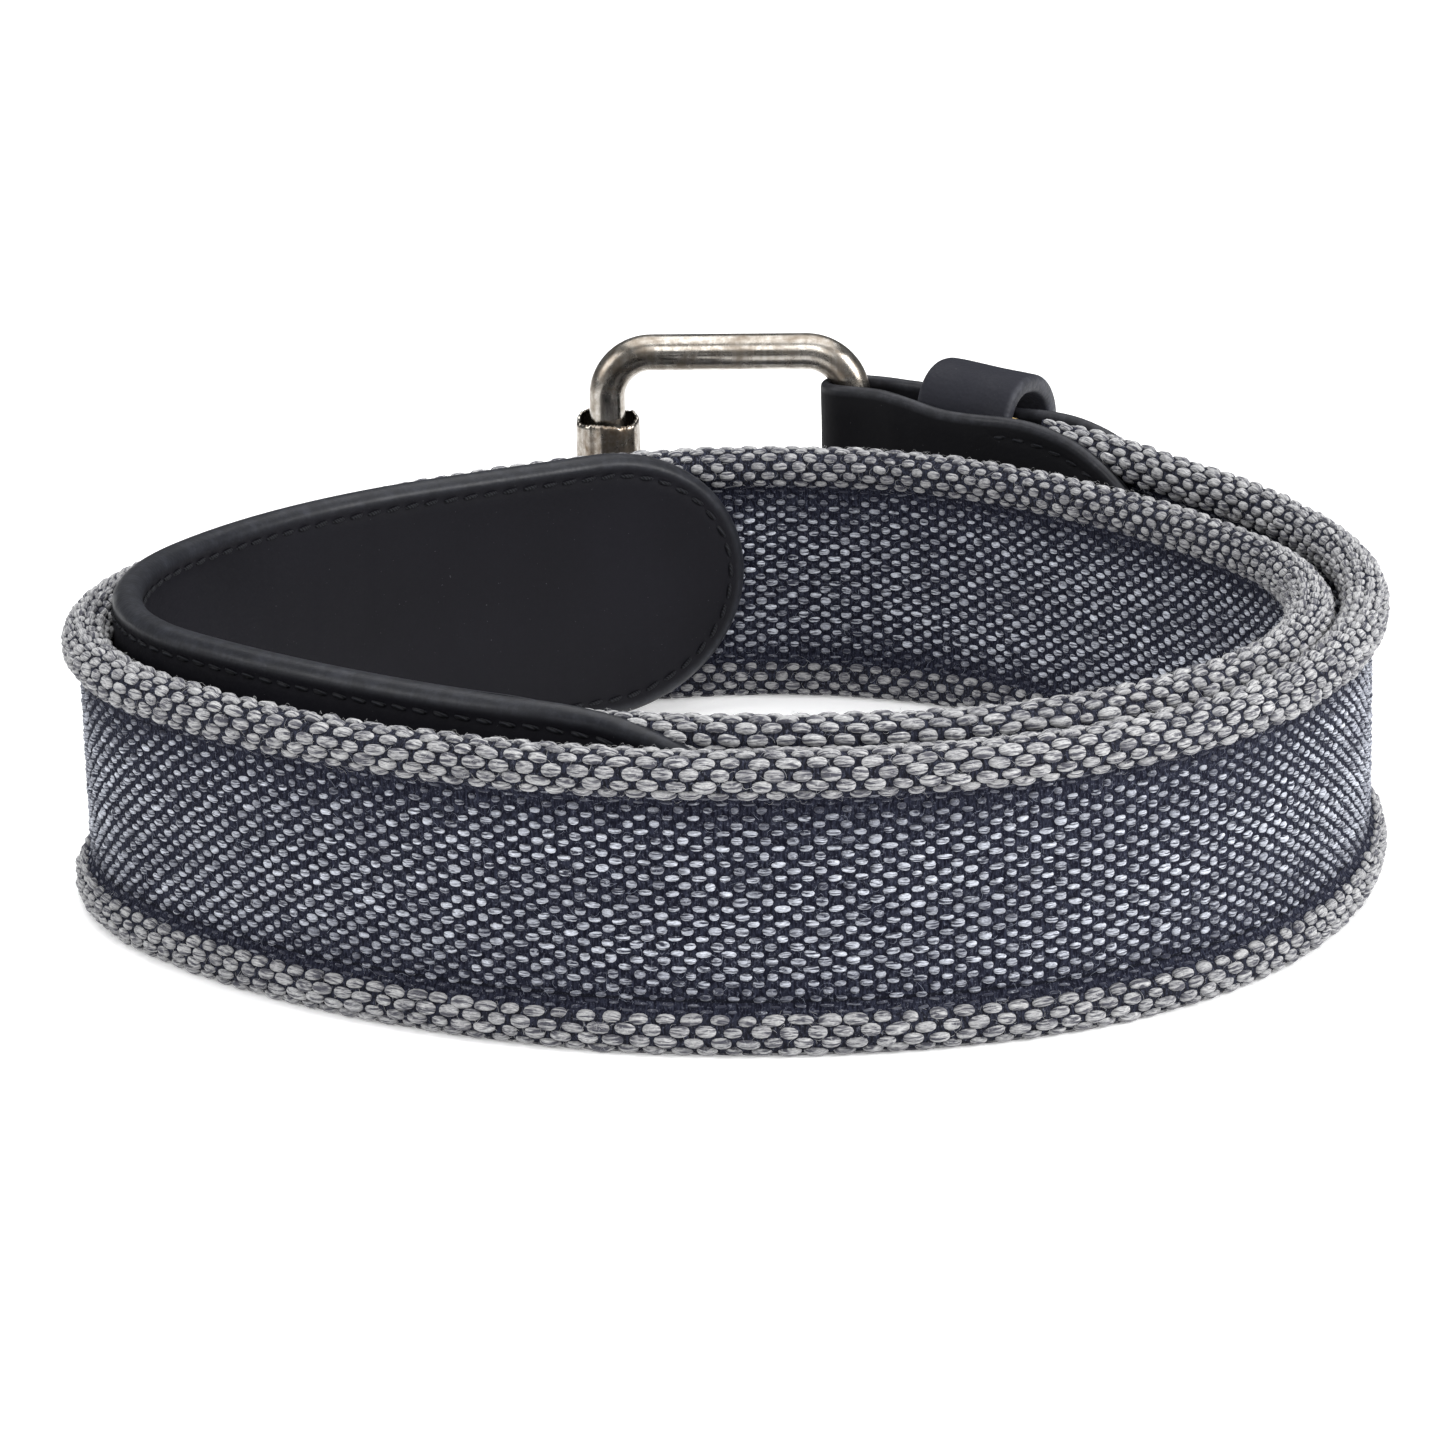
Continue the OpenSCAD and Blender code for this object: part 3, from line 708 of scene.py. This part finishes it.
def tip_side(name, side, start, finish):
    """One side of the tip: a leather layer whose outer edge is rounded over to the path's middle."""
    s, z = strip_grid(start, BELT_L, LONG_ROUND, TIP_ROUND, LEATHER_H / 2, 72, 300)
    d = edge_distance(s, z, start, BELT_L, LONG_ROUND, TIP_ROUND, LEATHER_H / 2)
    over_cloth = 1 - smooth(*OFF_CLOTH, s)
    under = tip_under(s, z)
    seam = under * over_cloth + (1 - over_cloth) * (0.02 + (under - 0.02) * smooth(0.6, 1.6, d))
    edge_r = 1.15 * over_cloth + TIP_HALF * (1 - over_cloth)
    stitched = np.abs(d - STITCH_INSET)
    groove = 0.14 * np.exp(-(stitched / 0.5) ** 2) + 0.05 * smooth(1.6, 0.6, stitched)
    wave = 0.03 * np.sin(s / 3.1) * np.sin(z / 4.3 + s / 17)
    top = seam + (under + TIP_LAYER - seam) * rounded(d, edge_r) - groove + wave * smooth(2, 6, d)
    bottom = np.minimum(seam, top - 0.02)
    front, back = spot(s, side * top, TIP_Z + z), spot(s, side * bottom, TIP_Z + z)
    if side < 0:
        front, back = back, front
    points, faces, used = shell(front, back)
    piece = mesh_object(name, points, faces, finish, "belt")
    marks = 1 - smooth(1.2, 2.3, d)
    mark_edges(piece, np.concatenate([marks.ravel(), marks.ravel()])[used])
    punch(piece)
    return piece


def punch(piece):
    """Cuts the prong holes through a piece of the tip."""
    mesh = bpy.data.meshes.new("punch")
    bm = bmesh.new()
    for s in HOLES:
        turned = Matrix.Rotation(heading(s), 4, "Z") @ Matrix.Rotation(pi / 2, 4, "X")
        place = Matrix.Translation(spot(s, 0, TIP_Z) * MM) @ turned
        bmesh.ops.create_cone(bm, cap_ends=True, segments=40, radius1=HOLE_R * MM,
                              radius2=HOLE_R * MM, depth=PUNCH_L * MM, matrix=place)
    bm.to_mesh(mesh)
    bm.free()
    cutter = bpy.data.objects.new("punch", mesh)
    bpy.context.scene.collection.objects.link(cutter)
    cut = piece.modifiers.new("punch", "BOOLEAN")
    cut.object, cut.operation, cut.solver = cutter, "DIFFERENCE", "EXACT"
    bpy.context.view_layer.update()
    cut_piece = piece.evaluated_get(bpy.context.evaluated_depsgraph_get())
    made = bpy.data.meshes.new_from_object(cut_piece)
    piece.modifiers.clear()
    piece.data = made
    bpy.data.objects.remove(cutter)


def leather_tip():
    """Both layers of the tip and the board between them."""
    # The tip's edge colour is lighter than its face: burnished edge paint, partly painted highlight.
    finish = leather_finish("tip_leather", face=(0.0046, 0.0044, 0.0067),
                            edge=(0.0105, 0.0112, 0.0145), roughness=0.55)
    outer = tip_side("tip_outer", 1, OUTER_START, finish)
    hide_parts("tip_outer_leather")
    inner = tip_side("tip_inner", -1, INNER_START, finish)
    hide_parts("tip_inner_leather")
    s, z = strip_grid(WEB_END + 4, BELT_L - 1.6, 0.01, TIP_ROUND, LEATHER_H / 2 - 1.6, 24, 90)
    front, back = spot(s, PANEL_HALF, TIP_Z + z), spot(s, -PANEL_HALF, TIP_Z + z)
    points, faces, _ = shell(front, back)
    core = mesh_object("tip_core_board", points, faces, raw_leather_finish(), "belt")
    punch(core)
    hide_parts("tip_core")


# ---- thread ----


def stitch_path(start, end, start_round, end_round, only_tail=False):
    """Middles and directions of stitches at equal steps round a strip, or round its tail only."""
    a0, a1, b = start_round - STITCH_INSET, end_round - STITCH_INSET, LEATHER_H / 2 - STITCH_INSET
    turn = np.linspace(-pi / 2, pi / 2, 200)
    head = np.stack([start + start_round - a0 * np.cos(turn), b * np.sin(turn)], axis=1)
    tail = np.stack([end - end_round + a1 * np.cos(-turn), b * np.sin(-turn)], axis=1)
    path = tail if only_tail else np.concatenate([head, tail, head[:1]])
    at = np.arange(STITCH_PITCH / 2, lengths_along(path)[-1] - STITCH_PITCH / 2, STITCH_PITCH)
    p, q = points_along(path, at), points_along(path, at + 0.2)
    return p, (q - p) / np.linalg.norm(q - p, axis=1, keepdims=True)


def stitches(name, runs, node, finish):
    """Thread stitches as short plump grains; a run is (places, directions, function to points)."""
    unit, quads, tris = grain_unit(6, 8)
    points = []
    for places, ways, to_points in runs:
        for p, way in zip(places, ways):
            slant = rng.normal(0.10, 0.03)
            along = unit[:, 0] * STITCH_L / 2
            across = unit[:, 1] * STITCH_R + along * slant
            s = p[0] + along * way[0] - across * way[1]
            z = p[1] + along * way[1] + across * way[0]
            rise = unit[:, 2] * STITCH_R * 0.8 - 0.34 * (unit[:, 0] ** 4)
            points.append(to_points(s, z, rise))
    faces = [copies(quads, len(points), len(unit)), copies(tris, len(points), len(unit))]
    piece = mesh_object(name, np.concatenate(points), faces, finish, "belt")
    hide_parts(node)


def tip_thread(finish):
    """The rows of stitches on both sides of the tip."""
    runs = []
    for side, start in ((1, OUTER_START), (-1, INNER_START)):
        def on_tip(s, z, rise, side=side):
            return spot(s, side * (tip_under(s, z) + TIP_LAYER + 0.02 + rise), TIP_Z + z)

        runs.append((*stitch_path(start, BELT_L, LONG_ROUND, TIP_ROUND), on_tip))
    stitches("tip_thread", runs, "tip_stitching", finish)


# ---- the tab, folded round the hinge bar ----


def tab_gap(s, side):
    """From the path to the tab's outer (1) or inner (-1) layer."""
    keeper_gap = KEEPER_T / 2 + LOOSE + (KEEPER_SHIFT if side < 0 else 0)
    s = np.asarray(s, float)
    near = BAR_GAP + (keeper_gap - BAR_GAP) * smooth(2, 12, s)
    return near + (ROLL_GAP - keeper_gap) * smooth(28, 42, s)


def tab_route():
    """The tab's mid-surface seen from above: points and normals at equal steps from the far end."""
    far = np.arange(FAR_END, 0, -0.5)
    near = np.arange(0, NEAR_END + 0.1, 0.5)
    mid = TAB_T / 2
    outer = spot(far, tab_gap(far, 1) + mid, 0)[:, :2]
    inner = spot(near, -tab_gap(near, -1) - mid, 0)[:, :2]
    turn = np.linspace(radians(BAR_HEADING + 90), radians(BAR_HEADING + 270), 26)[1:-1]
    radius = BAR_GAP + mid
    fold = np.array(BAR_AT) + radius * np.stack([np.cos(turn), np.sin(turn)], axis=1)
    path = np.concatenate([outer, fold, inner])
    at = np.linspace(0, lengths_along(path)[-1], 700)
    path = points_along(path, at)
    kernel = np.hanning(9) / np.hanning(9).sum()
    padded = np.pad(path, ((4, 4), (0, 0)), "edge")
    eased = np.stack([np.convolve(padded[:, k], kernel, "valid") for k in (0, 1)], axis=1)
    eased[[0, -1]] = path[[0, -1]]
    way = np.gradient(eased, at, axis=0)
    way /= np.linalg.norm(way, axis=1, keepdims=True)
    return at, eased, np.stack([-way[:, 1], way[:, 0]], axis=1)


ROUTE_AT, ROUTE, ROUTE_NORMAL = tab_route()


def pitch_down(points):
    """Tilts what lies beyond the tab's pitch point down towards the floor, as in the CAD model."""
    h = heading(TAB_PITCH_FROM)
    origin = spot(TAB_PITCH_FROM, 0, TAB_Z)
    ahead = np.array([np.cos(h), np.sin(h), 0])
    rel = points - origin
    a = rel @ ahead
    share = smooth(-5, 5, a)
    angle = radians(TAB_PITCH) * share
    moved = rel + ((np.cos(angle) - 1) * a + np.sin(angle) * rel[..., 2])[..., None] * ahead
    moved[..., 2] = rel[..., 2] * np.cos(angle) - np.sin(angle) * a
    return moved + origin


def dip(q, z):
    """How far the leather's upper part sags beside and under the keeper, on both layers."""
    s = np.abs(q - FOLD_Q)
    upper = smooth(-LEATHER_H / 2, LEATHER_H / 2, z)
    return 1.5 * smooth(14, 24, s) * smooth(42, 24, s) * upper


def tab_point(q, z, n):
    """Point of the tab: q along its route, z from its middle, n off its mid-surface."""
    z = z - dip(q, z)
    plan = np.stack([np.interp(q, ROUTE_AT, ROUTE[:, k]) for k in (0, 1)], axis=-1)
    side = np.stack([np.interp(q, ROUTE_AT, ROUTE_NORMAL[:, k]) for k in (0, 1)], axis=-1)
    flat = plan + side * np.asarray(n)[..., None]
    return pitch_down(np.concatenate([flat, (TAB_Z + np.asarray(z))[..., None]], axis=-1))


def tab_leather(finish, thread):
    """The folded strap, with its slot for the prong, and the stitches near both its ends."""
    total = ROUTE_AT[-1]
    half = LEATHER_H / 2
    s, z = strip_grid(0, total, LONG_ROUND, LONG_ROUND, half, 64, 340)
    d = edge_distance(s, z, 0, total, LONG_ROUND, LONG_ROUND, half)
    thick = TAB_T / 2 * rounded(d, 0.9)
    ends = np.minimum(s, total - s)
    stitched = np.exp(-((d - STITCH_INSET) / 0.5) ** 2) * (ends < LONG_ROUND)
    crease = 0.25 * np.exp(-((ends - (FAR_END - 13)) / 1.1) ** 2)
    wave = 0.05 * np.sin(s / 3.7 + z / 5) * np.sin(z / 3.9)
    outer = thick - 0.13 * stitched + wave * smooth(1, 4, d) - crease * 0.5
    front, back = tab_point(s, z, -outer), tab_point(s, z, thick * 0.98)
    cell_s = (s[:-1, :-1] + s[1:, 1:]) / 2
    cell_z = (z[:-1, :-1] + z[1:, 1:]) / 2 + TAB_Z - FRAME_Z
    slot = (np.abs(cell_s - FOLD_Q) < SLOT_HALF_L) & (np.abs(cell_z) < SLOT_HALF_H)
    points, faces, used = shell(back, front, ~slot)
    piece = mesh_object("tab_strap", points, faces, finish, "belt")
    marks = 1 - smooth(0.9, 1.6, d)
    mark_edges(piece, np.concatenate([marks.ravel(), marks.ravel()])[used])
    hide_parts("tab_leather")

    runs = []
    for mirrored in (False, True):
        places, ways = stitch_path(0, FAR_END, LONG_ROUND, LONG_ROUND, only_tail=True)
        places = places + (total - FAR_END, 0)
        if mirrored:
            places, ways = places * (-1, 1) + (total, 0), ways * (-1, 1)
        runs.append((places, ways, lambda a, b, rise: tab_point(a, b, -(TAB_T / 2 + rise - 0.08))))
    stitches("tab_thread", runs, "tab_stitching", thread)


# ---- keeper ----


def round_box(half_a, half_b, radii, count):
    """Outline of a box with a radius for each corner, from the corner at (+, +) anticlockwise."""
    arcs = []
    for (sa, sb), r, first in zip([(1, 1), (-1, 1), (-1, -1), (1, -1)], radii, (0, 90, 180, 270)):
        turn = np.radians(np.linspace(first, first + 90, count))
        middle = np.array([sa * (half_a - r), sb * (half_b - r)])
        arcs.append(middle + r * np.stack([np.cos(turn), np.sin(turn)], axis=1))
    return np.concatenate(arcs)


def keeper(finish):
    """A loop of leather: its outline seen along the belt, with its largest corners away from the tab."""
    room = KEEPER_SHIFT + LOOSE + TAB_T + KEEPER_SEAM + KEEPER_ROOM
    middle_n = KEEPER_T / 2 - KEEPER_SHIFT + room / 2
    half_t, edge_r = KEEPER_T / 2, 1.0
    near_r, far_r = KEEPER_NEAR_R + half_t, KEEPER_FAR_R + half_t
    loop = round_box(room / 2 + half_t, LEATHER_H / 2 + KEEPER_OVER + half_t,
                     (far_r, near_r, near_r, far_r), 14)
    loop = np.concatenate([loop, loop[:1]])
    at = np.linspace(0, lengths_along(loop)[-1], 221)[:-1]
    loop = points_along(loop, at)
    way = np.roll(loop, -1, axis=0) - np.roll(loop, 1, axis=0)
    way /= np.linalg.norm(way, axis=1, keepdims=True)
    normal = np.stack([way[:, 1], -way[:, 0]], axis=1)

    rim = round_box(KEEPER_W / 2, half_t, (edge_r,) * 4, 7)
    face = np.linspace(KEEPER_W / 2 - edge_r, edge_r - KEEPER_W / 2, 14)[1:-1]
    face = np.stack([face, np.full(12, half_t)], axis=1)
    section = np.concatenate([rim[:7], face, rim[7:21], face[::-1] * (1, -1), rim[21:]])
    u, t = section[:, 0], section[:, 1]
    q = at[:, None]
    dent = 0.10 * np.sin(q / 6.1) * np.cos(u / 5.0) + 0.06 * np.sin(q / 2.3 + u / 2.0)
    dented = t[None, :] + dent * (np.abs(t) > 0.5) * np.sign(t)
    n = loop[:, 0:1] + normal[:, 0:1] * dented
    z = loop[:, 1:2] + normal[:, 1:2] * dented
    h = heading(KEEPER_S)
    ahead, left = np.array([np.cos(h), np.sin(h), 0]), np.array([-np.sin(h), np.cos(h), 0])
    points = spot(KEEPER_S, 0, TAB_Z) + np.broadcast_to(u[None, :], n.shape)[..., None] * ahead
    points = points + (n + middle_n)[..., None] * left + z[..., None] * np.array([0, 0, 1])
    faces = grid_faces(len(at), len(u), closed_rows=True, closed_columns=True)
    piece = mesh_object("keeper_band", pitch_down(points), faces, finish, "belt")
    marks = np.broadcast_to(1 - smooth(0.1, 0.9, KEEPER_W / 2 - np.abs(u)), n.shape)
    mark_edges(piece, marks)
    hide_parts("keeper_loop")


# ---- buckle ----


def roller(finish):
    """The roller: thin sheet bent round, with soft facets, an open seam and a worn upper rim."""
    low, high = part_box("buckle_roller")
    centre = ((low + high) / 2)[:2]
    z0, z1 = low[2] / MM, high[2] / MM
    radius, wall = (high.x - low.x) / 2 / MM, 0.42
    turn = np.linspace(0, 2 * pi, 145)
    facets = 0.10 * np.cos(11 * turn) + 0.06 * np.cos(5 * turn + 1)
    fade = smooth(0, 0.25, turn) * smooth(2 * pi, 2 * pi - 0.25, turn)
    ragged = 0.28 * (rng.random(len(turn)) - 0.5) + 0.25 * np.sin(3 * turn + 0.6)
    ragged[-1] = ragged[0]
    heights = np.concatenate([[0, 0.15, 0.5], np.linspace(1.5, 32, 18), [33, 33.5, 33.85, 34]]) / 34
    w = heights[:, None]
    slant = 0.55 * np.sin(turn - 0.2)
    z = z0 + (z1 - z0) * w + (ragged + slant - 0.5) * w**12
    lip = -0.22 * np.exp(-((1 - w) / 0.01)) - 0.22 * np.exp(-(w / 0.01))
    r = radius - 0.12 - 0.16 * w + (facets * fade)[None, :] * 0.8 + lip
    inner = r - wall
    shift = np.array(centre) / MM

    def ring(radii):
        x = shift[0] + radii * np.cos(turn)[None, :]
        y = shift[1] + radii * np.sin(turn)[None, :]
        return np.stack([x, y, z], axis=-1)

    points, faces, _ = shell(ring(r)[::-1], ring(inner)[::-1])
    piece = mesh_object("roller_sleeve", points, faces, finish, "roller")
    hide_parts("buckle_roller")


def repaint(node, finish):
    """Gives a carried-over CAD node its finish."""
    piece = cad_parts[node]
    piece.data.materials.clear()
    piece.data.materials.append(finish)


# ---- floor, light and camera ----


def floor():
    """A wide white floor under the belt."""
    mesh = bpy.data.meshes.new("floor")
    size = 6.0
    corners = [(-size, -size, 0), (size, -size, 0), (size, size, 0), (-size, size, 0)]
    mesh.from_pydata(corners, [], [(0, 1, 2, 3)])
    mesh.materials.append(floor_finish())
    piece = bpy.data.objects.new("floor", mesh)
    bpy.context.scene.collection.objects.link(piece)


def lights():
    """A dim world and four square lamps aimed at the belt: name, place in m, size in m, power in W."""
    world = bpy.data.worlds.new("studio")
    bpy.context.scene.world = world
    world.use_nodes = True
    background = world.node_tree.nodes["Background"]
    background.inputs["Color"].default_value = (0.96, 0.98, 1, 1)
    background.inputs["Strength"].default_value = 0.16
    for name, at, size, power in [("overhead", (0, 0.25, 1.4), 1.7, 26),
                                  ("front", (0.0, -1.5, 1.2), 0.9, 13),
                                  ("left", (-1.3, -0.3, 0.7), 0.7, 8),
                                  ("right", (1.2, -0.5, 0.7), 0.7, 22)]:
        light = bpy.data.lights.new(name, "AREA")
        light.shape, light.size, light.energy = "SQUARE", size, power
        lamp = bpy.data.objects.new(name, light)
        lamp.location = at
        aim = -lamp.location.normalized()
        lamp.rotation_euler = aim.to_track_quat("-Z", "Y").to_euler()
        bpy.context.scene.collection.objects.link(lamp)


def camera():
    """A long lens from the front, looking a little down, and rolled slightly."""
    data = bpy.data.cameras.new("camera")
    data.lens, data.sensor_width = 125.8, 36
    data.clip_start, data.clip_end = 0.05, 30
    piece = bpy.data.objects.new("camera", data)
    tilt, roll = radians(90 - 16.2), radians(-1.5)
    turned = Matrix.Rotation(tilt, 4, "X") @ Matrix.Rotation(roll, 4, "Z")
    piece.matrix_world = Matrix.Translation((-0.00133, -0.6671, 0.2097)) @ turned
    bpy.context.scene.collection.objects.link(piece)
    bpy.context.scene.camera = piece
    bpy.context.scene.view_settings.view_transform = "Standard"


floor()
lights()
camera()
webbing()
leather_tip()
thread = thread_finish()
tip_thread(thread)
# The edge colours of the tab and the keeper: burnished edge paint, lighter in part as painted highlight.
tab_leather(leather_finish("tab_leather", face=(0.0050, 0.0050, 0.0065),
                           edge=(0.015, 0.0155, 0.019), roughness=0.6), thread)
keeper(leather_finish("keeper_leather", face=(0.0175, 0.018, 0.0245),
                      edge=(0.024, 0.025, 0.031), roughness=0.6, grain=0.0001))
metal = aged_metal("aged_metal", 0.75)
roller(aged_metal("aged_sheet", 1.0))
repaint("buckle_frame", metal)
repaint("buckle_prong", metal)
repaint("keeper_staple", brass_finish())
# The cord's dark groove colour is painted shade between its strands.
cord_cotton = yarn_finish("filler_cotton", dark=(0.5, 0.49, 0.46), light=(0.75, 0.74, 0.70),
                          strand_mm=0.5, groove_shade=(0.4, 0.39, 0.36))
repaint("upper_filler_cord", cord_cotton)
repaint("lower_filler_cord", cord_cotton)
